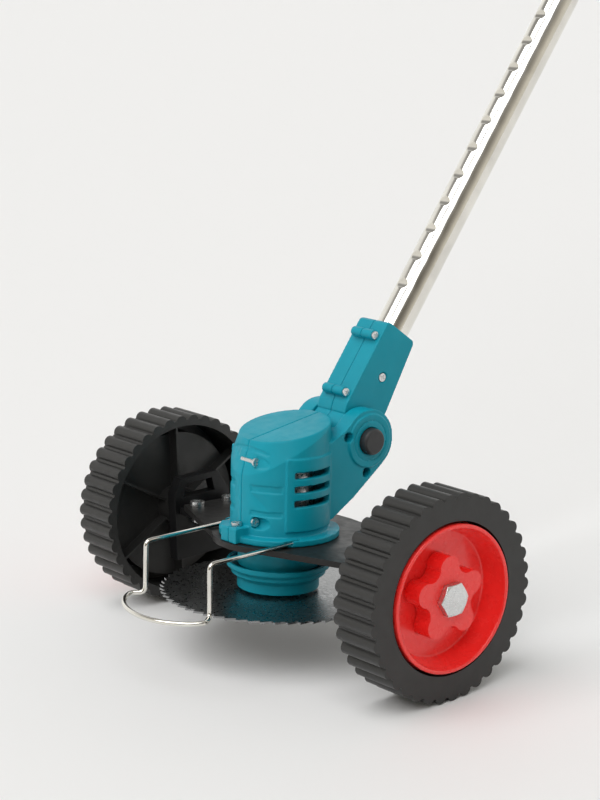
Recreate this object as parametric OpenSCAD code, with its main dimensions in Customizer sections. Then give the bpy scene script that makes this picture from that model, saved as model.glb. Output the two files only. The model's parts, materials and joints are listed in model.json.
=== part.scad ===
// Battery lawn edger on two wheels: a toothed blade under an upright motor, a pivoting telescopic pole
// and a rear handle with a battery. Millimetres, +Z up, X along the wheel axle, -Y to the front.
// The origin is on the ground, midway between the wheels and below their axle.

/* [Wheels] */
// Wheel diameter over the tread lugs
wheel_d = 127; // [124:1:132]
// Width of each wheel
wheel_w = 33; // [31:1:36]
// Gap between the inner faces of the wheels
track_gap = 227; // [225:1:235]
// Number of tread lugs on each wheel
lug_count = 38; // [30:1:40]
// Number of lobes on each star knob
knob_lobes = 5; // [4:1:6]

/* [Cutter] */
// Diameter of the saw blade
blade_d = 150; // [140:1:152]
// Number of saw teeth
tooth_count = 60; // [40:2:80]
// Height of the blade's centre above the ground
blade_z = 37.2; // [35:0.1:40]
// Distance of the blade's centre in front of the axle
blade_front = 13.2; // [12:0.1:15]
// Backward lean of the motor axis
motor_tilt = 4; // [3:0.5:5]

/* [Motor housing] */
// Radius of the motor housing
can_r = 31.2; // [31:0.1:32]
// Height of the middle of the housing's top above the blade
can_top = 105.5; // [105:0.5:107]
// Upward slope of the housing's top towards the rear
top_slope = 11.3; // [8:0.1:12]
// Wall of the plastic shells
shell = 2.6; // [2:0.1:3]

/* [Pole] */
// Lean of the pole from the vertical
pole_lean = 38.2; // [36:0.1:40]
// Outer diameter of the lower tube
tube_d = 22; // [21:0.5:22]
// Length of the lower tube
lower_tube_len = 551; // [530:1:560]
// Spacing of the notches in the lower tube
notch_pitch = 20.7; // [18:0.1:20.7]
// Length of the upper tube
upper_tube_len = 425; // [400:1:440]

/* [Hidden] */
$fn = 64;

// Colours
teal = [0.0, 0.55, 0.66];
red = [0.86, 0.14, 0.12];
black = [0.08, 0.08, 0.085];
dark = [0.2, 0.2, 0.21];
steel = [0.72, 0.72, 0.72];
copper = [0.72, 0.43, 0.25];
cell_green = [0.25, 0.5, 0.35];

// General
big = 400;          // larger than any half of a shell
seam = 0.1;         // gap at the parting line of a pair of shells
bite = 1;           // how far a cutter passes a face
running = 0.06;     // radial clearance of a pin in its bore

// Wheels: x is measured from the wheel's inner face outwards
wheel_r = wheel_d / 2;
axle_z = wheel_r;
lug_r = 4.3;
tread_r = wheel_r - 2.9;
rim_wall = 4.2;
sidewall_t = 2.4;
cup_r = 46.8;
cup_wall = 2.4;
web_x0 = 14;
web_x1 = 16.5;
boss_r = 13;
boss_x0 = 2;
hub_out_r = 45.2;      // leaves a dark ring-shaped gap inside the cup
hub_seat_r = 46.7;
hub_floor_r = 38.5;
hub_wall = 2.4;
hub_lip_t = 1.6;
hub_floor_t = 2.4;
axle_r = 6;
knob_x0 = web_x1 + hub_floor_t + 0.4;
knob_t = 12.5;
knob_lobe_r = 7.4;
knob_lobe_at = 18.6;
knob_core_r = 19;
knob_valley_r = 6.9;
knob_valley_at = 24.2;
bolt_head_af = 19;
bolt_head_t = 4.5;
wheel_rib_count = 6;
wheel_rib_t = 1.6;

// Bracket and arm to each wheel
bracket_x0 = 96;
bracket_x1 = 104;
bracket_screw_x = 83;
bracket_screw_y = [-2, 24];
bracket_screw_r = 2.5;
nut_af = 16;
nut_t = 5;
nut_room_r = 10.5;   // space round the nut in the bracket's foot

// Motor frame: z is the height above the blade's plane along the motor axis
blade_t = 1.2;
blade_r = blade_d / 2;
tooth_h = 3;
arbor_r = 5;
carrier_r = 33;
carrier_lip_h = 19.5;
neck_r = 26;
neck_h0 = 17.5;
plate_h0 = 33;
plate_h1 = 36.8;
plate_r = 42.5;
plate_hole_r = 24;
flange_r = 38;
flange_h0 = 37;
flange_h1 = 41;
top_r = 29;
top_y = 3;
top_flare = 0.5;    // widening of the shoulder below the top, per unit of depth
can_tall = 120;
cavity_top = 99;
well_r = 3.8;
well_wall = 1.6;
well_x = 9;
well_y = -can_r * cos(27.5);
well_h = [49.5, 87.6];
boss_reach = 7;       // how far the screw bosses run into the left shell
housing_screw_r = 1.4;
housing_screw_len = 13;
lug_w = 15;
lug_reach = 41;
lug_top = 46.5;
plate_screw_y = -34.5;
panel_az = [57.5, 128];
panel_h = [45, 91];
panel_t = 1.4;
slot_az = [67, 122];
slot_h = [60.5, 69.5, 78.5];
slot_height = 4.4;
band_az = [14, 54];
band_h = [[53.7, 57.4], [69, 73.7]];
band_depth = 0.7;
motor_r = 21;
motor_h0 = 42;
motor_h1 = 98;
shaft_r = 3;

// Wire guard: its ends start in the flange and rise slightly to the front
wire_r = 1.5;
wire_x = 32.4;
wire_y0 = -22;
wire_z0 = 77.8;
wire_rise = 1.05;
wire_y1 = -87.5;
wire_loop_z = 46;
wire_loop_y = -92;
wire_loop_reach = 29;
wire_loop_half = 40;

// Pivot of the head on the pole
pivot_y = 44;
pivot_z = 128;
cheek_x = 26;
fork_x = 14.3;
lobe_r = 20;
boss_disc_r = 17.2;
boss_disc_t = 1.2;
knuckle_r = 18.8;
knuckle_x = 13.5;
pin_r = 4;
button_r = 8.4;
button_x = [18, 32];
cheek_screws = [[26.7, 133.4], [41.2, 107.7]];
cheek_screw_r = 3.2;
cheek_well = 7;
cheek_thread_r = 1.2;
cheek_screw_len = 3;

// Pole frame: z runs up the pole from the pivot, -y is the pole's front
socket_top = 74;
socket_y = [-20, 8];
tube_y = -2.7;
tube_r = tube_d / 2;
tube_wall = 1.5;
tube_z0 = 24;
tube_end = tube_z0 + lower_tube_len;
boss_y = -22.5;
boss_z = [20.4, 61.8];
boss_end = 9.7;
screw_boss_r = 3.2;
side_screw_z = 42;
notch_z0 = 104;
notch_count = 23;
notch_r = 5;
notch_depth = 1.3;
collar_z0 = 472;
collar_len = 50;
collar_r = 19;
latch_z = notch_z0 + 19 * notch_pitch;
upper_z0 = 480;
upper_r = tube_r + 2.4;
upper_end = upper_z0 + upper_tube_len;
slide_gap = 0.4;

// Rear handle
nose_r = 19;
nose_z0 = 880;
grip_z0 = 925;
grip_r = 17.5;
foot_z0 = 1040;
foot_z1 = 1068;
foot_x = 33;
foot_y = 42;
trigger_z = 938;
handle_screw_z = [892, 950];
battery_z1 = 1116;
jack_r = 2.8;
jack_len = 9;

// Front loop handle
clamp_z = 684;
clamp_w = 26;
ear_y = -27;
ear_x = 9;
ear_gap = 0.5;
ear_w = 14;
loop_r = 7;
clamp_end = ear_x + ear_gap + ear_w + 0.4;    // outer face of the loop's ears, with a gap

// ---------- placing and general shapes ----------

module motor_frame() {
    translate([0, -blade_front, blade_z]) rotate([-motor_tilt, 0, 0]) children();
}

module pole_frame() {
    translate([0, pivot_y, pivot_z]) rotate([-pole_lean, 0, 0]) children();
}

module tube_frame() {
    pole_frame() translate([0, tube_y, 0]) children();
}

module on_side(side) {
    if (side > 0) children();
    else mirror([1, 0, 0]) children();
}

// A slab from x0 to x1 of an outline drawn in y and z
module yz_slab(x0, x1) {
    translate([x0, 0, 0]) rotate([90, 0, 90]) linear_extrude(x1 - x0) children();
}

module x_rod(x0, x1, r) {
    translate([x0, 0, 0]) rotate([0, 90, 0]) cylinder(r = r, h = x1 - x0);
}

module ring(r_in, r_out, z0, z1) {
    difference() {
        translate([0, 0, z0]) cylinder(r = r_out, h = z1 - z0);
        translate([0, 0, z0 - bite]) cylinder(r = r_in, h = z1 - z0 + 2 * bite);
    }
}

module x_ring(x0, x1, r_in, r_out) {
    translate([x0, 0, 0]) rotate([0, 90, 0]) ring(r_in, r_out, 0, x1 - x0);
}

module block(x, y, z) {
    translate([x[0], y[0], z[0]]) cube([x[1] - x[0], y[1] - y[0], z[1] - z[0]]);
}

module hexagon_bar(flats, h) {
    cylinder(d = flats / cos(30), h = h, $fn = 6);
}

// The half of a shape on one side of the middle plane
module half(side) {
    intersection() {
        children();
        on_side(side) block([seam / 2, big], [-big, 3 * big], [-big, 4 * big]);
    }
}

// A round bar bent through a list of points, with ball-shaped corners
module bent_bar(points, r, facets) {
    for (i = [0 : len(points) - 2]) hull() {
        translate(points[i]) sphere(r = r, $fn = facets);
        translate(points[i + 1]) sphere(r = r, $fn = facets);
    }
}

// The points of one side followed by their mirror images, so that a bar runs from side to side
function both_sides(points) =
    concat(points, [for (i = [len(points) - 1 : -1 : 0]) [-points[i][0], points[i][1], points[i][2]]]);

// A ring segment between two azimuths, counted from the front towards the side
module arc_ring(r0, r1, z0, z1, az) {
    rotate([0, 0, az[0] - 90]) rotate_extrude(angle = az[1] - az[0])
        polygon([[r0, z0], [r1, z0], [r1, z1], [r0, z1]]);
}

// A pan-head screw along +z with its head's underside at z = 0
module screw(r, len, head_r, head_h) {
    translate([0, 0, -len]) cylinder(r = r, h = len);
    difference() {
        cylinder(r = head_r, h = head_h);
        for (a = [0, 90]) rotate([0, 0, a]) translate([-head_r * 0.6, -head_r * 0.12, head_h * 0.5])
            cube([head_r * 1.2, head_r * 0.24, head_h]);
    }
}

module x_screw(r, len, head_r, head_h) {
    rotate([0, 90, 0]) screw(r, len, head_r, head_h);
}

// ---------- motor housing ----------

module cheek_outline() {
    translate([pivot_y, pivot_z]) circle(r = lobe_r);
    polygon([[-5, 80], [12, 83.4], [30, 93.5], [54.6, 110.8], [pivot_y, pivot_z], [34, 145], [24, 137.5],
        [10, 132], [-5, 130]]);
}

// The can's body under its sloping top, with a flared shoulder
module can_body() {
    intersection() {
        translate([0, 0, flange_h0]) cylinder(r = can_r, h = can_tall - flange_h0);
        translate([0, top_y, can_top]) rotate([top_slope, 0, 0]) translate([0, 0, -can_top])
            cylinder(r1 = top_r + top_flare * can_top, r2 = top_r, h = can_top);
    }
}

module housing_outside() {
    motor_frame() {
        can_body();
        translate([0, 0, flange_h0]) cylinder(r = flange_r, h = flange_h1 - flange_h0);
        block([-lug_w / 2, lug_w / 2], [-lug_reach, -can_r + 3], [flange_h0, lug_top]);
        for (s = [1, -1]) on_side(s) arc_ring(can_r - 1, can_r + panel_t, panel_h[0], panel_h[1], panel_az);
    }
    yz_slab(-cheek_x, cheek_x) cheek_outline();
    translate([0, pivot_y, pivot_z]) x_rod(-cheek_x - boss_disc_t, cheek_x + boss_disc_t, boss_disc_r);
}

// Space for the motor, with a boss left standing round each of the front screws
module housing_cavity() {
    motor_frame() difference() {
        rotate_extrude() polygon([[0, flange_h0 - bite], [can_r - shell, flange_h0 - bite],
            [can_r - shell, cavity_top - 6], [can_r - shell - 4, cavity_top], [0, cavity_top]]);
        for (h = well_h) translate([0, well_y, h]) x_rod(-boss_reach, can_r, well_r + well_wall);
    }
    yz_slab(-fork_x, fork_x) {
        translate([pivot_y, pivot_z]) circle(r = lobe_r + 0.6);
        polygon([[25, 70], [90, 70], [90, 170], [25, 170]]);
    }
}

module housing_cuts() {
    motor_frame() {
        for (s = [1, -1]) on_side(s) {
            for (h = slot_h) arc_ring(can_r - 6, can_r + 6, h, h + slot_height, slot_az);
            for (b = band_h) arc_ring(can_r - band_depth, can_r + bite, b[0], b[1], band_az);
        }
        for (h = well_h) translate([0, well_y, h]) {
            x_rod(well_x, 2 * can_r, well_r);
            x_rod(well_x - housing_screw_len, well_x + bite, housing_screw_r);
        }
        translate([0, plate_screw_y, flange_h0 - bite]) cylinder(r = 1.9, h = lug_top);
    }
    translate([0, pivot_y, pivot_z]) {
        x_rod(fork_x - bite, cheek_x + 2 * bite, button_r + 0.3);
        x_rod(-cheek_x - bite, -fork_x + bite, pin_r);
        for (s = [1, -1]) on_side(s) x_ring(cheek_x + boss_disc_t - 0.8, cheek_x + 2 * bite, 12.4, 13.4);
        x_rod(-cheek_x - 2 * bite, -cheek_x + 3.2, 7.2);
    }
    for (p = cheek_screws) translate([0, p[0], p[1]]) {
        x_rod(cheek_x - cheek_well, cheek_x + 2 * bite, cheek_screw_r);
        x_rod(cheek_x - cheek_well - cheek_screw_len, cheek_x, cheek_thread_r);
    }
    for (s = [1, -1]) translate([s * wire_x, wire_y0, wire_z0]) rotate([90 - wire_rise, 0, 0])
        translate([0, 0, -2]) cylinder(r = wire_r + 0.05, h = 40);
}

module housing() {
    difference() {
        housing_outside();
        housing_cavity();
        housing_cuts();
    }
}

module housing_left() { color(teal) half(-1) housing(); }

module housing_right() { color(teal) half(1) housing(); }

module housing_screws() {
    color(steel) {
        motor_frame() for (h = well_h) translate([well_x + 0.02, well_y, h])
            x_screw(housing_screw_r, housing_screw_len, 2.8, 1.4);
        for (p = cheek_screws) translate([cheek_x - cheek_well + 0.02, p[0], p[1]])
            x_screw(cheek_thread_r, cheek_screw_len, 2.4, 1.4);
    }
}

module motor_neck() {
    color(teal) motor_frame() rotate_extrude() polygon([[9.2, neck_h0], [neck_r, neck_h0], [neck_r, plate_h0],
        [plate_hole_r, plate_h0], [plate_hole_r, flange_h0], [neck_r - 1, flange_h0], [neck_r - 1, 41.5],
        [11.2, 41.5], [11.2, 30.4], [9.2, 30.4]]);
}

// ---------- motor ----------

module motor_can() {
    color(dark) motor_frame() difference() {
        translate([0, 0, motor_h0]) cylinder(r = motor_r, h = motor_h1 - motor_h0);
        translate([0, 0, motor_h0 + 2]) cylinder(r = motor_r - 1.8, h = motor_h1 - motor_h0 - 4);
        translate([0, 0, motor_h0 - bite]) cylinder(r = 6.6, h = motor_h1);
    }
}

module armature() {
    color(copper) motor_frame() {
        ring(shaft_r, 15, 54, 84);
        ring(shaft_r, 7, 84, 92);
    }
}

module motor_shaft() {
    color(steel) motor_frame() {
        translate([0, 0, 4]) cylinder(r = shaft_r, h = cavity_top - 4.5);
        translate([0, 0, -9]) cylinder(r = arbor_r, h = 14);
    }
}

module bearing_lower() { color(steel) motor_frame() ring(shaft_r + running, 9, 31, 37); }

module bearing_upper() { color(steel) motor_frame() ring(shaft_r + running, 6.5, 92.5, 97.5); }

// ---------- guard plate, wire guard ----------

// Outline of the plate with its two arms, seen from above in the motor frame
module plate_outline() {
    arm_x = bracket_x0 - nut_t - 1.3;
    side = [[0, -33], [26, -33.6], [60, -20], [arm_x, -8], [arm_x, 36], [60, 42], [30, 58], [0, 60]];
    circle(r = plate_r);
    polygon(concat(side, [for (i = [len(side) - 2 : -1 : 1]) [-side[i][0], side[i][1]]]));
}

module guard_plate() {
    color(dark) motor_frame() difference() {
        translate([0, 0, plate_h0]) linear_extrude(plate_h1 - plate_h0) plate_outline();
        translate([0, 0, plate_h0 - bite]) cylinder(r = plate_hole_r, h = 8);
        translate([0, plate_screw_y, plate_h0 - bite]) cylinder(r = 1.9, h = 8);
        for (s = [1, -1], y = bracket_screw_y) translate([s * bracket_screw_x, y, plate_h0 - bite])
            cylinder(r = bracket_screw_r + 0.1, h = 8);
    }
}

module plate_screws() {
    color(steel) motor_frame() translate([0, plate_screw_y, lug_top])
        screw(1.8, lug_top - plate_h0 + 1, 3.4, 2);
}

// One bent wire: its ends sit in the flange, and its front is a wide loop just above the ground
module wire_guard() {
    top_z = wire_z0 + (wire_y0 - wire_y1) * tan(wire_rise);
    arc = [for (a = [20 : 14 : 90])
        [wire_loop_half * cos(a), wire_loop_y - wire_loop_reach * sin(a), wire_loop_z]];
    points = concat([[wire_x, wire_y0, wire_z0], [wire_x, wire_y1, top_z], [wire_x, wire_y1 - 3.5, top_z - 3],
        [wire_x + 0.5, wire_y1 - 5.5, wire_loop_z + 4], [wire_x + 3, wire_y1 - 7, wire_loop_z + 0.4]], arc);
    color(steel) bent_bar(both_sides(points), wire_r, 12);
}

// ---------- cutter ----------

module blade_carrier() {
    color(teal) motor_frame() rotate_extrude() polygon([[arbor_r, blade_t / 2], [20, blade_t / 2], [20, 2.5],
        [26, 2.5], [26, 9], [30, 12], [30, 14], [carrier_r, 16.5], [carrier_r, carrier_lip_h],
        [carrier_r - 2, carrier_lip_h], [carrier_r - 2, 17], [27.5, 13], [23.6, 10], [23.6, 5], [9, 5], [9, 15],
        [shaft_r, 15], [shaft_r, 5], [arbor_r, 5]]);
}

module saw_blade() {
    step = 360 / tooth_count;
    root_r = blade_r - tooth_h;
    points = [for (i = [0 : tooth_count - 1], k = [0, 1])
        let (a = (i + k * 0.22) * step, r = k == 0 ? root_r : blade_r) [r * cos(a), r * sin(a)]];
    color(steel) motor_frame() difference() {
        translate([0, 0, -blade_t / 2]) linear_extrude(blade_t) polygon(points);
        translate([0, 0, -blade_t]) cylinder(r = arbor_r, h = 2 * blade_t);
    }
}

module blade_washer() { color(steel) motor_frame() ring(arbor_r, 14, -2.6, -blade_t / 2); }

module blade_nut() {
    color(steel) motor_frame() difference() {
        translate([0, 0, -8]) hexagon_bar(16, 5.4);
        translate([0, 0, -9]) cylinder(r = arbor_r, h = 8);
    }
}

// ---------- wheels ----------

// Places a shape drawn along +x from the inner face of the wheel on one side
module at_wheel(side) {
    on_side(side) translate([track_gap / 2, 0, axle_z]) children();
}

module tread() {
    difference() {
        union() {
            circle(r = tread_r);
            for (i = [0 : lug_count - 1]) rotate(i * 360 / lug_count)
                translate([wheel_r - lug_r, 0]) circle(r = lug_r);
        }
        circle(r = tread_r - rim_wall);
    }
}

// Section of the wheel's shell: boss, web, cup wall and outer sidewall
module wheel_section() {
    bore_r = axle_r + running;
    skin_r = tread_r - rim_wall / 2;
    polygon([[bore_r, boss_x0], [boss_r, boss_x0], [boss_r, web_x0], [cup_r + cup_wall, web_x0],
        [cup_r + cup_wall, wheel_w - sidewall_t], [skin_r, wheel_w - sidewall_t], [skin_r, wheel_w],
        [cup_r, wheel_w], [cup_r, web_x1], [bore_r, web_x1]]);
}

module wheel(side) {
    color(black) at_wheel(side) {
        rotate([0, 90, 0]) {
            linear_extrude(wheel_w) tread();
            rotate_extrude() wheel_section();
        }
        for (i = [0 : wheel_rib_count - 1]) rotate([(i + 0.5) * 360 / wheel_rib_count, 0, 0])
            block([boss_x0 + 4, web_x0 + bite], [boss_r - 1, tread_r - rim_wall + 0.5],
                [-wheel_rib_t / 2, wheel_rib_t / 2]);
    }
}

module wheel_left() { wheel(-1); }

module wheel_right() { wheel(1); }

// Dished red hub, seated on the web of the wheel's cup
module hub(side) {
    bore_r = axle_r + 0.5;
    floor_x = web_x1 + hub_floor_t;
    rim_x = wheel_w + hub_lip_t;
    color(red) at_wheel(side) rotate([0, 90, 0]) rotate_extrude() polygon([[bore_r, web_x1],
        [hub_seat_r, web_x1], [hub_seat_r, web_x1 + 2], [hub_floor_r + hub_wall, web_x1 + 2],
        [hub_out_r - 1, wheel_w - 6],
        [hub_out_r, wheel_w - 4], [hub_out_r, rim_x], [hub_out_r - hub_wall, rim_x],
        [hub_out_r - hub_wall - 1, wheel_w - 5], [hub_floor_r, floor_x], [bore_r, floor_x]]);
}

module hub_left() { hub(-1); }

module hub_right() { hub(1); }

module star_knob(side) {
    color(red) at_wheel(side) translate([knob_x0, 0, 0]) rotate([0, 90, 0]) linear_extrude(knob_t)
        rotate(180) difference() {
        union() {
            circle(r = knob_core_r);
            for (i = [0 : knob_lobes - 1]) rotate(i * 360 / knob_lobes) {
                translate([knob_lobe_at, 0]) circle(r = knob_lobe_r);
                translate([0, -knob_lobe_r]) square([knob_lobe_at, 2 * knob_lobe_r]);
            }
        }
        for (i = [0 : knob_lobes - 1]) rotate((i + 0.5) * 360 / knob_lobes)
            translate([knob_valley_at, 0]) circle(r = knob_valley_r);
        circle(r = axle_r);
    }
}

module star_knob_left() { star_knob(-1); }

module star_knob_right() { star_knob(1); }

module axle_bolts() {
    color(steel) for (s = [1, -1]) at_wheel(s) {
        x_rod(bracket_x0 - track_gap / 2 - nut_t - 0.5, knob_x0 + knob_t + 0.2, axle_r);
        translate([knob_x0 + knob_t, 0, 0]) rotate([0, 90, 0]) hexagon_bar(bolt_head_af, bolt_head_t);
    }
}

module axle_spacers() {
    color(dark) for (s = [1, -1]) at_wheel(s)
        x_ring(bracket_x1 - track_gap / 2, boss_x0 - 0.5, axle_r + 0.1, 11);
}

module axle_nuts() {
    color(steel) for (s = [1, -1]) at_wheel(s) difference() {
        translate([bracket_x0 - track_gap / 2 - nut_t, 0, 0]) rotate([0, 90, 0]) hexagon_bar(nut_af, nut_t);
        x_rod(-60, 0, axle_r);
    }
}

// Upright with a window at its top, and a foot under the guard plate that leaves room for the axle nut
module bracket(side) {
    color(black) on_side(side) difference() {
        union() {
            yz_slab(bracket_x0, bracket_x1) polygon([[-21, 35], [16, 35], [16, 60], [24, 66], [24, 76],
                [15, 90], [-15, 90], [-21, 80]]);
            motor_frame() block([76, bracket_x0 + 1], [-6, 36], [plate_h0 - 4.6, plate_h0]);
        }
        yz_slab(bracket_x0 - bite, bracket_x1 + bite) polygon([[-14, 77], [12, 77], [10, 86], [-11, 86]]);
        translate([0, 0, axle_z]) {
            x_rod(bracket_x0 - bite, bracket_x1 + bite, axle_r + 0.1);
            x_rod(bracket_x0 - nut_t - bite, bracket_x0, nut_room_r);
        }
        motor_frame() for (y = bracket_screw_y) translate([bracket_screw_x, y, plate_h0 - 9])
            cylinder(r = bracket_screw_r + 0.1, h = 12);
    }
}

module bracket_left() { bracket(-1); }

module bracket_right() { bracket(1); }

module bracket_screws() {
    color(steel) motor_frame() for (s = [1, -1], y = bracket_screw_y)
        translate([s * bracket_screw_x, y, plate_h1]) screw(bracket_screw_r, 11, 4.6, 3);
}

// ---------- pivot ----------

module pivot_pin() {
    color(steel) translate([0, pivot_y, pivot_z]) {
        x_rod(-cheek_x + 1, 20, pin_r);
        x_rod(-cheek_x + 0.2, -cheek_x + 3, 6.8);
    }
}

module lock_button() {
    color(dark) translate([0, pivot_y, pivot_z]) difference() {
        rotate([0, 90, 0]) rotate_extrude() polygon([[0, button_x[0]], [button_r, button_x[0]],
            [button_r, button_x[1] - 1.2], [button_r - 1.2, button_x[1]], [0, button_x[1]]]);
        x_rod(button_x[0] - bite, button_x[1] - 3, 6.4);
    }
}

// Coil between the pivot pin's end and the inside of the button
module button_spring() {
    color(steel) translate([0, pivot_y, pivot_z]) for (i = [0 : 4])
        translate([20.6 + i * 1.85, 0, 0]) rotate([0, 90, 0]) rotate_extrude()
            translate([5.2, 0]) circle(r = 0.5);
}

// ---------- socket and tubes ----------

module socket() {
    pole_frame() difference() {
        union() {
            x_rod(-knuckle_x, knuckle_x, knuckle_r);
            yz_slab(-knuckle_x, knuckle_x) polygon([[socket_y[0] + 2, 8], [socket_y[0], 14],
                [socket_y[0], socket_top - 2], [socket_y[0] + 2, socket_top], [socket_y[1] - 2, socket_top], [socket_y[1], socket_top - 2],
                [socket_y[1] + 6, 20], [knuckle_r - 2, 8]]);
            for (z = boss_z) {
                translate([0, boss_y, z]) x_rod(-boss_end, boss_end, screw_boss_r);
                block([-boss_end + 1, boss_end - 1], [boss_y, socket_y[0] + 1], [z - 2, z + 2]);
            }
        }
        x_rod(-big, big, pin_r + running);
        translate([0, tube_y, tube_z0]) cylinder(r = tube_r, h = socket_top);
        for (z = boss_z) translate([0, boss_y, z]) x_rod(-boss_end + 1, boss_end + 1, 1.4);
        translate([0, tube_y, side_screw_z]) {
            x_rod(-knuckle_x + 2, knuckle_x + bite, 2);
            x_rod(knuckle_x - 1.6, knuckle_x + bite, 3.4);
        }
    }
}

module socket_left() { color(teal) half(-1) socket(); }

module socket_right() { color(teal) half(1) socket(); }

module socket_screws() {
    color(steel) pole_frame() for (z = boss_z) translate([boss_end, boss_y, z]) x_screw(1.4, 17, 2.5, 1.4);
}

module tube_screw() {
    color(steel) pole_frame() translate([knuckle_x - 1.6, tube_y, side_screw_z]) x_screw(2, 23, 2.8, 1.2);
}

module lower_tube() {
    color(steel) tube_frame() difference() {
        ring(tube_r - tube_wall, tube_r, tube_z0, tube_end);
        for (i = [0 : notch_count - 1])
            translate([0, -tube_r - notch_r + notch_depth, notch_z0 + i * notch_pitch])
                x_rod(-tube_r, tube_r, notch_r);
        translate([0, 0, side_screw_z]) x_rod(-tube_r - bite, tube_r + bite, 2.05);
    }
}

module upper_tube() {
    color(dark) tube_frame() difference() {
        ring(tube_r + slide_gap, upper_r, upper_z0, upper_end);
        translate([0, -upper_r - bite, latch_z]) rotate([-90, 0, 0]) cylinder(r = 3.4, h = upper_r);
    }
}

module lock_collar() {
    color(black) tube_frame() difference() {
        union() {
            ring(tube_r + slide_gap, collar_r, collar_z0, upper_z0);
            ring(upper_r, collar_r, upper_z0, collar_z0 + collar_len);
            block([-9, 9], [-27, -collar_r + 3], [latch_z - 12, latch_z + 12]);
        }
        translate([0, -30, latch_z]) rotate([-90, 0, 0]) cylinder(r = 3.4, h = 18);
        translate([0, -30, latch_z]) rotate([-90, 0, 0]) cylinder(r = 7.4, h = 10);
        translate([0, 0, collar_z0 - bite]) cylinder(r = tube_r + slide_gap, h = collar_len);
    }
}

// Sprung button over a notch of the lower tube; its pin ends just clear of the tube, so the slide stays free
module collar_latch() {
    color(red) tube_frame() translate([0, 0, latch_z]) rotate([90, 0, 0]) {
        translate([0, 0, tube_r + slide_gap]) cylinder(r = 3, h = 10);
        translate([0, 0, 20.4]) cylinder(r = 7, h = 11);
    }
}

// ---------- front loop handle ----------

module handle_clamp() {
    color(black) tube_frame() translate([0, 0, clamp_z]) difference() {
        union() {
            translate([0, 0, -clamp_w / 2]) cylinder(r = upper_r + 5, h = clamp_w);
            block([-ear_x, ear_x], [ear_y, -upper_r], [-10, 10]);
            translate([0, ear_y, 0]) x_rod(-ear_x, ear_x, 10);
        }
        translate([0, 0, -clamp_w]) cylinder(r = upper_r, h = 2 * clamp_w);
        translate([0, ear_y, 0]) x_rod(-big, big, 3);
    }
}

module clamp_bolt() {
    color(steel) tube_frame() translate([0, ear_y, clamp_z]) {
        x_rod(-clamp_end - 1, clamp_end, 3);
        translate([-clamp_end - 4, 0, 0]) rotate([0, 90, 0]) hexagon_bar(10, 4);
    }
}

module clamp_knob() {
    color(black) tube_frame() translate([clamp_end, ear_y, clamp_z]) rotate([0, 90, 0]) difference() {
        linear_extrude(14) {
            circle(r = 9);
            for (a = [0 : 60 : 300]) rotate(a) translate([9, 0]) circle(r = 3);
        }
        translate([0, 0, -bite]) cylinder(r = 3, h = bite + 0.02);
    }
}

module front_handle() {
    foot_at = ear_x + ear_gap + ear_w / 2;
    points = [[foot_at, -4, 0], [foot_at, -22, 0], [52, -40, 0], [52, -98, 0]];
    color(black) tube_frame() translate([0, ear_y, clamp_z]) difference() {
        union() {
            for (s = [1, -1]) on_side(s) x_rod(ear_x + ear_gap, ear_x + ear_gap + ear_w, 10);
            bent_bar(both_sides(points), loop_r, 28);
        }
        x_rod(-big, big, 3 + running);
        x_rod(-ear_x - ear_gap, ear_x + ear_gap, 11);
    }
}

module front_grip() {
    color(dark) tube_frame() translate([0, ear_y - 98, clamp_z]) x_ring(-36, 36, loop_r, loop_r + 3);
}

// ---------- rear handle ----------

module handle_outside() {
    tube_frame() {
        translate([0, 0, nose_z0]) cylinder(r = nose_r, h = grip_z0 + 30 - nose_z0);
        translate([0, 0, grip_z0]) cylinder(r = grip_r, h = foot_z0 - grip_z0 + 5);
        rotate([0, 0, 45]) translate([0, 0, foot_z0 - 16]) cylinder(r = 25, h = 20);
        block([-foot_x, foot_x], [-foot_y, foot_y], [foot_z0, foot_z1]);
    }
}

module handle_cavity() {
    tube_frame() {
        translate([0, 0, nose_z0 - bite]) cylinder(r = upper_r, h = upper_end - nose_z0 + bite);
        translate([0, 0, upper_end - bite]) cylinder(r = grip_r - shell, h = foot_z0 - upper_end + 4);
        block([-foot_x + shell, foot_x - shell], [-foot_y + shell, foot_y - shell],
            [foot_z0 + shell, foot_z1 - shell]);
        block([-7, 7], [4, nose_r + bite], [trigger_z - 10, trigger_z + 62]);
        block([-12, 12], [-22, 22], [foot_z1 - shell - bite, foot_z1 + bite]);
        translate([0, 0, trigger_z]) {
            translate([0, 11, 0]) x_rod(-14, 14, 2);
            translate([0, -6, -4]) x_rod(6, nose_r + bite, 5.3);
        }
        for (z = handle_screw_z) translate([0, -12, z]) x_rod(9, nose_r + bite, 3);
    }
}

module handle() {
    difference() {
        handle_outside();
        handle_cavity();
    }
}

module handle_left() { color(teal) half(-1) handle(); }

module handle_right() { color(teal) half(1) handle(); }

module handle_screws() {
    color(steel) tube_frame() for (z = handle_screw_z) translate([10.6, -12, z]) x_screw(1.4, 1.4, 2.6, 1.8);
}

module grip_cover() {
    color(dark) tube_frame() rotate([0, 0, 190]) rotate_extrude(angle = 160)
        polygon([[grip_r, 958], [grip_r + 1.8, 960], [grip_r + 1.8, 1018], [grip_r, 1020]]);
}

module trigger() {
    color(red) tube_frame() translate([0, 11, trigger_z]) difference() {
        union() {
            x_rod(-6, 6, 5);
            yz_slab(-6, 6) polygon([[-3, 4], [3, -4], [16, 8], [17, 20], [13, 36], [12, 52], [4, 52], [0, 30]]);
        }
        x_rod(-7, 7, 2 + running);
    }
}

module trigger_pin() { color(steel) tube_frame() translate([0, 11, trigger_z]) x_rod(-13.8, 13.8, 2); }

module lock_off_button() {
    color(red) tube_frame() translate([0, -6, trigger_z - 4]) {
        x_rod(7, 21, 5);
        x_rod(5.8, 7.8, 6.2);
    }
}

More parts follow.
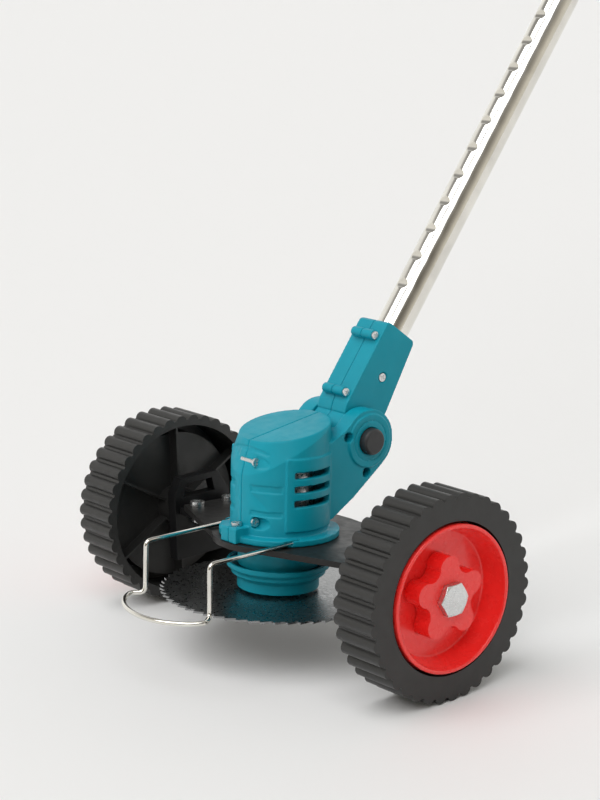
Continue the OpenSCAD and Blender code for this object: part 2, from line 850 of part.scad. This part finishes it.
module switch_box() {
    color(dark) tube_frame() {
        block([-5, 5], [-12, 3], [trigger_z + 10, trigger_z + 34]);
        block([-2, 2], [2, 6], [trigger_z + 20, trigger_z + 25]);
    }
}

module terminal_block() {
    color(dark) tube_frame() block([-11, 11], [-20, 20], [foot_z1 - 10, foot_z1 - 0.5]);
}

// ---------- battery ----------

module battery_case() {
    color(black) tube_frame() difference() {
        union() {
            block([-foot_x, foot_x], [-foot_y, foot_y], [foot_z1 + 0.5, battery_z1]);
            block([foot_x - 14, foot_x], [foot_y - 16, foot_y], [foot_z1 + 10, foot_z1 + 26]);
        }
        difference() {
            block([-foot_x + shell, foot_x - shell], [-foot_y + shell, foot_y - shell],
                [foot_z1 + 4, battery_z1 - shell]);
            block([foot_x - 12, foot_x], [foot_y - 14, foot_y], [foot_z1 + 10, foot_z1 + 26]);
        }
        translate([0, foot_y - 8, foot_z1 + 18]) x_rod(foot_x - jack_len, foot_x + bite, jack_r);
        block([-13.4, 13.4], [-foot_y - bite, -foot_y + 3], [foot_z1 + 11.6, foot_z1 + 24.4]);
    }
}

// Five cells in two rows, lying across the pole
module battery_cells() {
    cell_r = 9.1;
    cell_len = 62;
    color(cell_green) tube_frame() {
        for (x = [-18.6, 0, 18.6]) translate([x, -foot_y + 4, battery_z1 - 13]) rotate([-90, 0, 0])
            cylinder(r = cell_r, h = cell_len);
        for (x = [-9.3, 9.3]) translate([x, -foot_y + 4, battery_z1 - 30]) rotate([-90, 0, 0])
            cylinder(r = cell_r, h = cell_len);
    }
}

module battery_latch() {
    color(red) tube_frame() block([-12.6, 12.6], [-foot_y - 3, -foot_y + 2.4], [foot_z1 + 12, foot_z1 + 20]);
}

// ---------- output ----------

housing_left();
housing_right();
housing_screws();
motor_can();
armature();
motor_shaft();
bearing_upper();
bearing_lower();
motor_neck();
guard_plate();
plate_screws();
wire_guard();
blade_carrier();
saw_blade();
blade_washer();
blade_nut();
bracket_left();
bracket_right();
bracket_screws();
wheel_left();
wheel_right();
hub_left();
hub_right();
star_knob_left();
star_knob_right();
axle_bolts();
axle_spacers();
axle_nuts();
pivot_pin();
lock_button();
button_spring();
socket_left();
socket_right();
socket_screws();
tube_screw();
lower_tube();
lock_collar();
collar_latch();
upper_tube();
handle_clamp();
clamp_bolt();
clamp_knob();
front_handle();
front_grip();
handle_left();
handle_right();
handle_screws();
grip_cover();
trigger();
trigger_pin();
lock_off_button();
switch_box();
terminal_block();
battery_case();
battery_cells();
battery_latch();
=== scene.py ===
"""Looks of the lawn edger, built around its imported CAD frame. Metres, +Z up, -Y to the front."""

import json
import math

import bmesh
import bpy
from mathutils import Matrix, Vector


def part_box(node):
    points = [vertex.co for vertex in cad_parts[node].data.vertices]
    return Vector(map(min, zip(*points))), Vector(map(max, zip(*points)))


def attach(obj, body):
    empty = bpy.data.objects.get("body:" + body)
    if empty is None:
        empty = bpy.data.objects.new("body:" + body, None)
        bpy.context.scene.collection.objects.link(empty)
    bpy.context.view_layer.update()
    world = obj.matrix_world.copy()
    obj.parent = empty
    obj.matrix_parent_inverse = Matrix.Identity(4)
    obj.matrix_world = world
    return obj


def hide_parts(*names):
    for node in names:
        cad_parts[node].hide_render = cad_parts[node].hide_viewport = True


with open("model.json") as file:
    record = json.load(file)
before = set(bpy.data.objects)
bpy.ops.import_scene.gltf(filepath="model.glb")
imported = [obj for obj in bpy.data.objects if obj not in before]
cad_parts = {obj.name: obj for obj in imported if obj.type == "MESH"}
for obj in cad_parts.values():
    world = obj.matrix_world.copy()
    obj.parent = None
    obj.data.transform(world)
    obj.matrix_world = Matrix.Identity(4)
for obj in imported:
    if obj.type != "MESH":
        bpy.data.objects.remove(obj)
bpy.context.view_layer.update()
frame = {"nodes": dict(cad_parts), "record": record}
NODES = frame["nodes"]
BODY_OF = {node: body for body, nodes in frame["record"]["behaviour"]["bodies"].items()
           for node in nodes}
SLOT_OF = {part["node"]: part["material_slot"] for part in frame["record"]["subparts"]}
MM = 0.001
MOTOR_BASE = Vector((0, -13.2, 37.2)) * MM                    # middle of the blade
MOTOR_LEAN = Matrix.Rotation(math.radians(-4), 4, "X")        # of the motor, towards the front
BEND_STEPS = 8         # rings in each bend of a bar
BAR_SIDES = 20
HEAD_STEPS = 96        # points round a bolt head
TUBE_SIDES = 96
CORE_SIDES = 96


# ---------- camera, light and floor ----------

def add_camera():
    """A long lens at the front right, aimed a little above the ground between the wheels."""
    azimuth, elevation, roll = (math.radians(a) for a in (50.64, 14.19, 1.78))
    distance, lift, side = 1.3876, 0.1532, 0.0028
    right = Vector((math.cos(azimuth), math.sin(azimuth), 0))
    back = Vector((math.sin(azimuth) * math.cos(elevation),
                   -math.cos(azimuth) * math.cos(elevation),
                   math.sin(elevation)))
    up = back.cross(right)
    turned_right = right * math.cos(roll) - up * math.sin(roll)
    turned_up = right * math.sin(roll) + up * math.cos(roll)
    place = back * distance + turned_up * lift + turned_right * side
    data = bpy.data.cameras.new("camera")
    data.lens = 97.07
    camera = bpy.data.objects.new("camera", data)
    axes = Matrix((turned_right, turned_up, back)).transposed().to_4x4()
    camera.matrix_world = Matrix.Translation(place) @ axes
    bpy.context.scene.collection.objects.link(camera)
    bpy.context.scene.camera = camera


def direction_dot(tree, direction, axis):
    """How far a direction points along an axis."""
    node = tree.nodes.new("ShaderNodeVectorMath")
    node.operation = "DOT_PRODUCT"
    node.inputs[1].default_value = axis
    tree.links.new(direction, node.inputs[0])
    return node.outputs["Value"]


def calculate(tree, operation, *values):
    """A math node on sockets or plain numbers."""
    node = tree.nodes.new("ShaderNodeMath")
    node.operation = operation
    for socket, value in zip(node.inputs, values):
        if isinstance(value, (int, float)):
            socket.default_value = value
        else:
            tree.links.new(value, socket)
    return node.outputs["Value"]


def step_between(tree, value, low, high):
    """0 below low, 1 above high, and smooth between."""
    node = tree.nodes.new("ShaderNodeMapRange")
    node.interpolation_type = "SMOOTHSTEP"
    node.inputs["From Min"].default_value = low
    node.inputs["From Max"].default_value = high
    tree.links.new(value, node.inputs["Value"])
    return node.outputs["Result"]


def mix_colours(tree, factor, first, second):
    """Goes from the first colour to the second as the factor goes from 0 to 1."""
    node = tree.nodes.new("ShaderNodeMix")
    node.data_type = "RGBA"
    tree.links.new(factor, node.inputs[0])
    for socket, value in ((node.inputs[6], first), (node.inputs[7], second)):
        if isinstance(value, tuple):
            socket.default_value = (*value, 1)
        else:
            tree.links.new(value, socket)
    return node.outputs[2]


def softbox_mask(tree, direction):
    """A wide lamp above and in front, seen as two panels with a narrow gap between them."""
    centre = Vector((0.12, -0.5, 0.86)).normalized()
    across = (Vector((1, 0, 0)) - centre * centre.x).normalized()
    along = centre.cross(across)
    half_width, half_depth, gap, edge = 0.64, 0.46, 0.045, 0.03
    facing = calculate(tree, "MAXIMUM", direction_dot(tree, direction, centre), 0.05)
    u = calculate(tree, "DIVIDE", direction_dot(tree, direction, across), facing)
    v = calculate(tree, "DIVIDE", direction_dot(tree, direction, along), facing)
    u, v = calculate(tree, "ABSOLUTE", u), calculate(tree, "ABSOLUTE", v)
    inside_u = step_between(tree, u, half_width + edge, half_width)
    inside_v = step_between(tree, v, half_depth + edge, half_depth)
    off_gap = step_between(tree, u, gap, gap + edge)
    panels = calculate(tree, "MULTIPLY", inside_u, inside_v)
    return calculate(tree, "MULTIPLY", panels, off_gap)


def add_world():
    """A white studio: pale walls behind, a dark room on the camera's side, a dim ceiling, a lamp."""
    wall_behind = (-0.775, 0.632, 0.0)
    wall_colours = ((0.09, (0.10, 0.09, 0.075)), (0.25, (0.50, 0.47, 0.41)),
                    (0.75, (0.70, 0.69, 0.66)), (1.0, (0.78, 0.78, 0.77)))
    ceiling, lamp, strength = (0.24, 0.235, 0.225), (2.3, 2.3, 2.3), 1.31
    world = bpy.data.worlds.new("studio")
    world.use_nodes = True
    tree = world.node_tree
    direction = tree.nodes.new("ShaderNodeTexCoord").outputs["Generated"]
    facing_wall = direction_dot(tree, direction, wall_behind)
    walls = tree.nodes.new("ShaderNodeValToRGB")
    while len(walls.color_ramp.elements) < len(wall_colours):
        walls.color_ramp.elements.new(0.5)
    for element, (place, colour) in zip(walls.color_ramp.elements, wall_colours):
        element.position = place
        element.color = (*colour, 1)
    tree.links.new(calculate(tree, "MULTIPLY_ADD", facing_wall, 0.5, 0.5), walls.inputs["Fac"])
    height = direction_dot(tree, direction, (0, 0, 1))
    room = mix_colours(tree, step_between(tree, height, 0.5, 0.7), walls.outputs["Color"], ceiling)
    light = mix_colours(tree, softbox_mask(tree, direction), room, lamp)
    background = tree.nodes["Background"]
    tree.links.new(light, background.inputs["Color"])
    background.inputs["Strength"].default_value = strength
    bpy.context.scene.world = world


def add_floor(size):
    """A pale matt floor, size metres square."""
    mesh = bpy.data.meshes.new("floor")
    half = size / 2
    corners = [(-half, -half, 0), (half, -half, 0), (half, half, 0), (-half, half, 0)]
    mesh.from_pydata(corners, [], [(0, 1, 2, 3)])
    floor = bpy.data.objects.new("floor", mesh)
    bpy.context.scene.collection.objects.link(floor)
    material, _, shader = new_material("studio_floor")
    shader.inputs["Base Color"].default_value = (0.86, 0.86, 0.86, 1)
    shader.inputs["Roughness"].default_value = 0.6
    shader.inputs["Specular IOR Level"].default_value = 0.2
    mesh.materials.append(material)


# ---------- material helpers ----------

def new_material(name):
    """A node material, with its tree and its shader."""
    material = bpy.data.materials.new(name)
    material.use_nodes = True
    tree = material.node_tree
    return material, tree, tree.nodes["Principled BSDF"]


def noise(tree, scale, detail=3.0, stretch=(1, 1, 1), distortion=0.0):
    """A noise texture in the object's own coordinates, with scale in cells per metre."""
    coords = tree.nodes.new("ShaderNodeTexCoord")
    mapping = tree.nodes.new("ShaderNodeMapping")
    mapping.inputs["Scale"].default_value = stretch
    texture = tree.nodes.new("ShaderNodeTexNoise")
    texture.inputs["Scale"].default_value = scale
    texture.inputs["Detail"].default_value = detail
    texture.inputs["Distortion"].default_value = distortion
    tree.links.new(coords.outputs["Object"], mapping.inputs["Vector"])
    tree.links.new(mapping.outputs["Vector"], texture.inputs["Vector"])
    return texture.outputs["Fac"]


def ramp(tree, value, low, high, start=0.3, end=0.7):
    """Maps a 0..1 value between two colours, or between two grey levels."""
    node = tree.nodes.new("ShaderNodeValToRGB")
    for element, colour, place in zip(node.color_ramp.elements, (low, high), (start, end)):
        element.position = place
        element.color = (*colour, 1) if isinstance(colour, tuple) else (colour, colour, colour, 1)
    tree.links.new(value, node.inputs["Fac"])
    return node.outputs["Color"]


def bump(tree, shader, layers):
    """Stacks (height value, distance in metres, strength) layers into the shader's normal."""
    normal = None
    for height, distance, strength in layers:
        node = tree.nodes.new("ShaderNodeBump")
        node.inputs["Distance"].default_value = distance
        node.inputs["Strength"].default_value = strength
        tree.links.new(height, node.inputs["Height"])
        if normal is not None:
            tree.links.new(normal, node.inputs["Normal"])
        normal = node.outputs["Normal"]
    tree.links.new(normal, shader.inputs["Normal"])


def moulded(name, colour, rough, grain=2200, depth=0.00006, shade=0.12, coat=0.0,
            specular=0.5):
    """Moulded plastic: fine eroded grain, slow shade drift, faint scuffs in the gloss."""
    material, tree, shader = new_material(name)
    dark = tuple(c * (1 - shade) for c in colour)
    light = tuple(min(1.0, c * (1 + shade)) for c in colour)
    tree.links.new(ramp(tree, noise(tree, 35, 4), dark, light), shader.inputs["Base Color"])
    tree.links.new(ramp(tree, noise(tree, 160, 6), rough - 0.07, rough + 0.08), shader.inputs["Roughness"])
    shader.inputs["Specular IOR Level"].default_value = specular
    shader.inputs["Coat Weight"].default_value = coat
    shader.inputs["Coat Roughness"].default_value = 0.12
    bump(tree, shader, [(noise(tree, 60, 2), 0.0004, 0.12), (noise(tree, grain, 2), depth, 0.5)])
    return material


def metal(name, colour, rough, stretch=(1, 1, 1), scratch=900, depth=0.00003, metallic=1.0):
    """Metal with fine scratches along one direction, and a slow drift in shade and gloss."""
    material, tree, shader = new_material(name)
    dark = tuple(c * 0.85 for c in colour)
    tree.links.new(ramp(tree, noise(tree, 60, 4), dark, colour), shader.inputs["Base Color"])
    scratches = ramp(tree, noise(tree, scratch, 5, stretch), rough * 0.7, rough * 1.35)
    tree.links.new(scratches, shader.inputs["Roughness"])
    shader.inputs["Metallic"].default_value = metallic
    bump(tree, shader, [(noise(tree, scratch, 4, stretch), depth, 0.35)])
    return material


def all_materials():
    """One material for each slot of the record."""
    return {
        "teal_plastic": moulded("teal_plastic", (0.0, 0.30, 0.40), 0.46, specular=0.28, shade=0.06),
        "black_plastic": moulded("black_plastic", (0.006, 0.006, 0.0065), 0.36, specular=0.35),
        "dark_plate": moulded("dark_plate", (0.016, 0.0155, 0.015), 0.4, grain=1500, specular=0.3),
        "tread_plastic": moulded("tread_plastic", (0.02, 0.0198, 0.019), 0.42, grain=1300,
                                 depth=0.00005, shade=0.08),
        "red_plastic": moulded("red_plastic", (0.92, 0.030, 0.026), 0.26, grain=500,
                               depth=0.00001, coat=0.3, shade=0.03),
        "button_plastic": moulded("button_plastic", (0.03, 0.03, 0.032), 0.5),
        "grip_rubber": moulded("grip_rubber", (0.02, 0.02, 0.021), 0.7, grain=900, depth=0.0002),
        "blade_steel": metal("blade_steel", (0.30, 0.305, 0.31), 0.3, scratch=500),
        "zinc_steel": metal("zinc_steel", (0.75, 0.76, 0.76), 0.3, scratch=700),
        "bright_tube": metal("bright_tube", (0.84, 0.82, 0.765), 0.11, (1, 0.06, 0.06), 1200,
                             depth=0.000004),
        "black_tube": metal("black_tube", (0.02, 0.02, 0.021), 0.35, metallic=0.3),
        "copper_winding": metal("copper_winding", (0.65, 0.3, 0.16), 0.35),
        "cell_wrap": moulded("cell_wrap", (0.05, 0.22, 0.12), 0.3),
    }


MATERIALS = all_materials()


# ---------- mesh helpers ----------

def finish_piece(mesh, name, body, slot_name, nodes):
    """Links a mesh as a piece that rides on a body, takes a slot's material and stands for CAD nodes."""
    piece = bpy.data.objects.new(name, mesh)
    bpy.context.scene.collection.objects.link(piece)
    mesh.materials.clear()
    mesh.materials.append(MATERIALS[slot_name])
    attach(piece, body)
    if nodes:
        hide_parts(*nodes)
    return piece


def shade_smooth(work, sharp):
    """Smooth faces, with every edge sharper than an angle in degrees left hard."""
    for face in work.faces:
        face.smooth = True
    for edge in work.edges:
        hard = len(edge.link_faces) == 2 and edge.calc_face_angle(0) > math.radians(sharp)
        edge.smooth = not hard


def circle(count):
    """The angles of count points round a full turn."""
    return [2 * math.pi * k / count for k in range(count)]


def join_rings(work, rings):
    """Faces between each ring of points and the next."""
    for first, second in zip(rings, rings[1:]):
        count = len(first)
        for k in range(count):
            j = (k + 1) % count
            work.faces.new((first[k], first[j], second[j], second[k]))


def mesh_from(work, name):
    """Turns a bmesh into a named mesh and frees it."""
    mesh = bpy.data.meshes.new(name)
    work.to_mesh(mesh)
    work.free()
    return mesh


def round_edges(piece, width, sharp):
    """Bevels the edges that are sharper than an angle in degrees."""
    bevel = piece.modifiers.new("round_edges", "BEVEL")
    bevel.width = width
    bevel.segments = 2
    bevel.limit_method = "ANGLE"
    bevel.angle_limit = math.radians(sharp)


def softened(node, width, sharp=32):
    """A copy of a CAD node with welded corners, flat faces joined up and its edges rounded by width."""
    mesh = NODES[node].data.copy()
    work = bmesh.new()
    work.from_mesh(mesh)
    bmesh.ops.remove_doubles(work, verts=work.verts, dist=2e-6)
    bmesh.ops.dissolve_limit(work, angle_limit=math.radians(0.6), verts=work.verts, edges=work.edges)
    work.normal_update()
    shade_smooth(work, sharp)
    work.to_mesh(mesh)
    work.free()
    piece = finish_piece(mesh, node + "_piece", BODY_OF[node], SLOT_OF[node], [node])
    round_edges(piece, width, sharp)
    weighted = piece.modifiers.new("face_normals", "WEIGHTED_NORMAL")
    weighted.weight = 60


def remeshed(node, voxel, smoothing, keep, extra=None):
    """A copy of a CAD node remade on a fine grid, which rounds every moulded edge and corner.

    The function extra, where there is one, adds to the mesh before it is remade.
    """
    mesh = NODES[node].data.copy()
    if extra:
        extra(mesh)
    piece = finish_piece(mesh, node + "_piece", BODY_OF[node], SLOT_OF[node], [node])
    grid = piece.modifiers.new("grid", "REMESH")
    grid.mode = "VOXEL"
    grid.voxel_size = voxel
    grid.use_smooth_shade = True
    smooth = piece.modifiers.new("soften", "SMOOTH")
    smooth.factor = 0.5
    smooth.iterations = smoothing
    thin = piece.modifiers.new("thin_out", "DECIMATE")
    thin.ratio = keep
    for modifier in list(piece.modifiers):
        apply_modifier(piece, modifier)


def cut_off(work, place, normal):
    """Cuts a convex solid at a plane, drops the side that the normal points to, and closes it."""
    bmesh.ops.bisect_plane(work, geom=work.verts[:] + work.edges[:] + work.faces[:], dist=1e-7,
                           plane_co=place, plane_no=normal, clear_outer=True)
    bmesh.ops.delete(work, geom=work.faces[:], context="FACES_ONLY")
    bmesh.ops.convex_hull(work, input=work.verts[:])


def fill_shoulder(mesh):
    """Adds a solid core under the housing's sloping top, so that no opening shows there."""
    core_r, bottom, top, centre_y = 30.7 * MM, 82 * MM, 105 * MM, 3 * MM
    slope, top_r, flare, flare_sides = math.radians(11.3), 28.5 * MM, 0.5, 48
    on_left = sum(vertex.co.x for vertex in mesh.vertices) < 0
    work = bmesh.new()
    bmesh.ops.create_cone(work, cap_ends=True, segments=CORE_SIDES, radius1=core_r,
                          radius2=core_r, depth=top - bottom)
    bmesh.ops.translate(work, verts=work.verts, vec=(0, 0, (top + bottom) / 2))
    lean = Matrix.Rotation(slope, 3, "X")
    pivot = Vector((0, centre_y, top))
    cut_off(work, pivot, lean @ Vector((0, 0, 1)))
    cut_off(work, Vector((0, 0, 0)), Vector((1 if on_left else -1, 0, 0)))
    for a in circle(flare_sides):
        out = Vector((math.cos(a), math.sin(a), 0))
        tilted = (out + Vector((0, 0, flare))).normalized()
        cut_off(work, pivot + lean @ (out * top_r), lean @ tilted)
    bmesh.ops.transform(work, verts=work.verts, matrix=Matrix.Translation(MOTOR_BASE) @ MOTOR_LEAN)
    bmesh.ops.recalc_face_normals(work, faces=work.faces)
    work.from_mesh(mesh)
    work.to_mesh(mesh)
    work.free()


def apply_modifier(piece, modifier):
    """Bakes one modifier into the piece's mesh."""
    with bpy.context.temp_override(object=piece, active_object=piece, selected_objects=[piece]):
        bpy.ops.object.modifier_apply(modifier=modifier.name)


def rounded_path(points, corner):
    """The points with each corner swapped for a bend that starts a given way before it."""
    path = [points[0]]
    for before, here, after in zip(points, points[1:], points[2:]):
        reach = min(corner, 0.45 * (before - here).length, 0.45 * (after - here).length)
        start = here + (before - here).normalized() * reach
        end = here + (after - here).normalized() * reach
        for step in range(BEND_STEPS + 1):
            t = step / BEND_STEPS
            path.append(start * (1 - t) ** 2 + here * 2 * t * (1 - t) + end * t ** 2)
    path.append(points[-1])
    return path


def bar_mesh(name, path, radius):
    """A round bar along a path, with flat ends."""
    rings = []
    side = None
    work = bmesh.new()
    for i, place in enumerate(path):
        heading = (path[min(i + 1, len(path) - 1)] - path[max(i - 1, 0)]).normalized()
        side = heading.orthogonal() if side is None else side - heading * side.dot(heading)
        side.normalize()
        other = heading.cross(side)
        rings.append([work.verts.new(place + radius * (side * math.cos(a) + other * math.sin(a)))
                      for a in circle(BAR_SIDES)])
    join_rings(work, rings)
    work.faces.new(reversed(rings[0]))
    work.faces.new(rings[-1])
    for face in work.faces:
        face.smooth = len(face.verts) == 4
    bmesh.ops.recalc_face_normals(work, faces=work.faces)
    return mesh_from(work, name)


def add_wire_guard():
    """The bent wire: two rods from the flange, two legs down, and a wide round loop in front."""
    radius, bend = 1.5 * MM, 4 * MM
    rod_x, rod_rise = 32.4 * MM, 1.7 * MM
    leg_y, leg_out, leg_forward = -90.5 * MM, 0.5 * MM, 2 * MM
    loop_y, loop_half = -92 * MM, 40 * MM
    loop_angles = range(16, 90, 10)
    low, high = (Vector(corner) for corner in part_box("wire_guard"))
    back_y, top_z = high.y - radius, high.z - radius
    front_y, loop_z = low.y + radius, low.z + radius
    half = [Vector((rod_x, back_y, top_z - rod_rise)), Vector((rod_x, leg_y, top_z)),
            Vector((rod_x + leg_out, leg_y - leg_forward, loop_z))]
    for turn in (math.radians(angle) for angle in loop_angles):
        half.append(Vector((loop_half * math.cos(turn),
                            loop_y - (loop_y - front_y) * math.sin(turn), loop_z)))
    mirrored = [Vector((-p.x, p.y, p.z)) for p in reversed(half)]
    mesh = bar_mesh("wire_guard_piece", rounded_path(half + mirrored, bend), radius)
    finish_piece(mesh, "wire_guard_piece", "head", "bright_tube", ["wire_guard"])


def hexagon_reach(a, flats):
    """How far a hexagon's outline is from its middle at an angle."""
    return flats / 2 / math.cos((a + math.pi / 6) % (math.pi / 3) - math.pi / 6)


def add_axle_bolts():
    """Both axle bolts: a shank from the nut outwards, and a hexagon head with chamfered corners."""
    flats, head, shank_r, nut_t = 19 * MM, 4.5 * MM, 6 * MM, 5.5 * MM
    flat_r = flats / 2 * 0.95
    middle_r = flat_r * 0.5
    chamfer = math.tan(math.radians(24))
    low, high = (Vector(corner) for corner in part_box("axle_bolts"))
    axle_z = (low.z + high.z) / 2
    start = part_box("axle_nuts")[1][0] - nut_t
    angles = circle(HEAD_STEPS)
    reaches = [hexagon_reach(a, flats) for a in angles]
    work = bmesh.new()
    for side in (1, -1):
        face_x = side * high.x
        under_x = face_x - side * head
        sections = [(side * start, shank_r), (under_x, shank_r), (under_x, None),
                    (None, None), (face_x, flat_r), (face_x, middle_r)]
        rings = []
        for x, radius in sections:
            ring = []
            for a, out in zip(angles, reaches):
                r = out if radius is None else radius
                place = face_x - side * (out - flat_r) * chamfer if x is None else x
                ring.append(work.verts.new((place, r * math.sin(a), axle_z + r * math.cos(a))))
            rings.append(ring)
        join_rings(work, rings)
        work.faces.new(rings[0])
        work.faces.new(rings[-1])
    bmesh.ops.recalc_face_normals(work, faces=work.faces)
    shade_smooth(work, 18)
    mesh = mesh_from(work, "axle_bolts_piece")
    piece = finish_piece(mesh, "axle_bolts_piece", "head", "zinc_steel", ["axle_bolts"])
    round_edges(piece, 0.25 * MM, 30)


def add_lower_tube():
    """The bright tube with its pressed notches, each of which draws the front wall in a little."""
    lean = math.radians(38.2)
    up = Vector((0, math.sin(lean), math.cos(lean)))
    front = Vector((0, -math.cos(lean), math.sin(lean)))
    side = Vector((1, 0, 0))
    pivot = Vector((0, 44 * MM, 128 * MM)) + front * 2.7 * MM
    start, length, outer, wall = 24 * MM, 551 * MM, 11 * MM, 1.5 * MM
    first_notch, pitch, count, notch_r, depth = 104 * MM, 20.7 * MM, 23, 5 * MM, 1.3 * MM
    draw, reach = 0.22 * MM, 5.5 * MM
    plain_ends = [start, start + 40 * MM, start + 66 * MM], [start + length - 8 * MM, start + length]
    near_notch = [0, 0.8, 1.6, 2.4, 3.0, 3.4, 4.3, 5.5, 7, 9]
    offsets = [-offset for offset in reversed(near_notch[1:])] + near_notch
    heights = plain_ends[0] + [first_notch + i * pitch + offset * MM
                               for i in range(count) for offset in offsets] + plain_ends[1]
    work = bmesh.new()
    rings = []
    for z in heights:
        index = max(0, min(count - 1, round((z - first_notch) / pitch)))
        dz = z - first_notch - index * pitch
        pull = draw * math.exp(-(dz / reach) ** 2)
        room = notch_r ** 2 - dz ** 2
        cut = outer - depth + notch_r - math.sqrt(room) if room > 0 else outer + 1 * MM
        ring = []
        for a in circle(TUBE_SIDES):
            r = outer - pull * max(0.0, math.cos(a)) ** 2
            forward = min(r * math.cos(a), cut)
            ring.append(work.verts.new(pivot + up * z + front * forward + side * (r * math.sin(a))))
        rings.append(ring)
    bore = [[work.verts.new(pivot + up * z
                            + (outer - wall) * (front * math.cos(a) + side * math.sin(a)))
             for a in circle(TUBE_SIDES)] for z in (heights[-1], heights[0])]
    join_rings(work, rings + bore + [rings[0]])
    bmesh.ops.recalc_face_normals(work, faces=work.faces)
    shade_smooth(work, 28)
    mesh = mesh_from(work, "lower_tube_piece")
    finish_piece(mesh, "lower_tube_piece", "lower_pole", "bright_tube", ["lower_tube"])


def dress_cad_nodes():
    """Gives every CAD node the material of its slot."""
    for node, part in NODES.items():
        part.data.materials.clear()
        part.data.materials.append(MATERIALS[SLOT_OF[node]])


SOFT_EDGES = {     # millimetres
    "motor_neck": 0.5, "blade_carrier": 0.5, "guard_plate": 0.5,
    "bracket_left": 0.7, "bracket_right": 0.7,
    "wheel_left": 1.1, "wheel_right": 1.1, "hub_left": 0.9, "hub_right": 0.9,
    "star_knob_left": 1.6, "star_knob_right": 1.6, "lock_button": 0.5, "axle_nuts": 0.3,
    "handle_left": 1.5, "handle_right": 1.5, "battery_case": 1.5, "trigger": 1.2,
    "lock_collar": 1.2, "handle_clamp": 1.2, "clamp_knob": 0.8, "battery_latch": 0.6,
    "front_grip": 1.0, "grip_cover": 0.5, "lock_off_button": 0.5, "collar_latch": 0.7,
    "bracket_screws": 0.3, "housing_screws": 0.15, "socket_screws": 0.2, "tube_screw": 0.2,
    "plate_screws": 0.2, "clamp_bolt": 0.3, "blade_nut": 0.3,
}
GRID = 0.5 * MM      # voxel of the remade shells
KEEP = 0.25          # share of their faces that stays

bpy.context.scene.view_settings.view_transform = "Standard"
dress_cad_nodes()
add_camera()
add_world()
add_floor(40)

add_wire_guard()
add_axle_bolts()
add_lower_tube()
for part_name in ("housing_left", "housing_right"):
    remeshed(part_name, GRID, 5, KEEP, fill_shoulder)
for part_name in ("socket_left", "socket_right"):
    remeshed(part_name, GRID, 7, KEEP)
for part_name, edge_mm in SOFT_EDGES.items():
    softened(part_name, edge_mm * MM)
